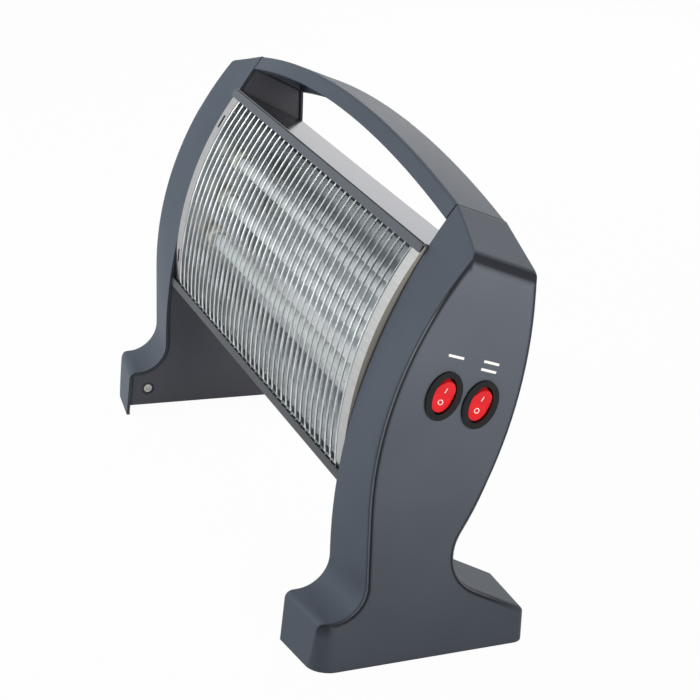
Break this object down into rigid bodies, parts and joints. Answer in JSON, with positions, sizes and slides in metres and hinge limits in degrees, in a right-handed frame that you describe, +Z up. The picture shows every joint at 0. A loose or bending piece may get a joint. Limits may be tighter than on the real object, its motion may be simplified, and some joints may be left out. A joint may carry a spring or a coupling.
{
  "type": "quartz heater",
  "caption": "Free-standing quartz heater with curved plastic end casings, an arched carry handle, glowing tubes behind a bowed wire guard and rocker switches on one end.",
  "frame": {"origin": "on the floor, midway between the casings and midway along their feet", "axes": "+Z up, front with the guard towards -Y, the casing with the switches at +X"},
  "size_m": [0.4738, 0.15, 0.3038],
  "materials": {
    "casing": "fine-grained dark grey moulded plastic",
    "cover": "dark grey moulded plastic",
    "rail": "dark grey satin paint on steel sheet",
    "rear_sheet": "bright rolled metal sheet",
    "reflector": "polished reflector sheet",
    "end_plate": "bright rolled metal sheet",
    "guard_wire": "bright plated steel wire",
    "quartz": "milky quartz glass",
    "coil": "resistance wire",
    "ceramic": "cream ceramic",
    "terminal": "plated steel",
    "screw": "plated steel",
    "switch_black": "black moulded plastic",
    "rocker_red": "glossy red plastic",
    "inner_plastic": "pale moulded plastic"
  },
  "bodies": {
    "heater": {"casing_right": "casing", "casing_left": "casing", "handle": "casing", "cover_right": "cover", "cover_left": "cover", "cover_screws": "screw", "top_rail": "rail", "bottom_rail": "rail", "rear_cover": "rear_sheet", "reflector": "reflector", "end_plate_right": "end_plate", "end_plate_left": "end_plate", "plate_screws": "screw", "guard": "guard_wire", "tube_lower": "quartz", "coil_lower": "coil", "tube_middle": "quartz", "coil_middle": "coil", "tube_upper": "quartz", "coil_upper": "coil", "caps_right": "ceramic", "caps_left": "ceramic", "terminals_right": "terminal", "terminals_left": "terminal", "link_strip_right": "terminal", "link_strip_left": "terminal", "switch_front": "switch_black", "switch_rear": "switch_black", "switch_tabs_front": "terminal", "switch_tabs_rear": "terminal", "terminal_block": "inner_plastic", "tip_switch": "inner_plastic", "cord_bush": "switch_black"},
    "rocker_front": {"rocker_front": "rocker_red"},
    "rocker_rear": {"rocker_rear": "rocker_red"}
  },
  "joints": [
    {"name": "rocker_front_tip", "type": "hinge", "parent": "heater", "child": "rocker_front", "pos_m": [0.2334, 0.00815, 0.18134], "axis": [0, -0.9426, 0.3338], "range_deg": [0, 20]},
    {"name": "rocker_rear_tip", "type": "hinge", "parent": "heater", "child": "rocker_rear", "pos_m": [0.2334, 0.03265, 0.17266], "axis": [0, -0.9426, 0.3338], "range_deg": [0, 20]}
  ]
}
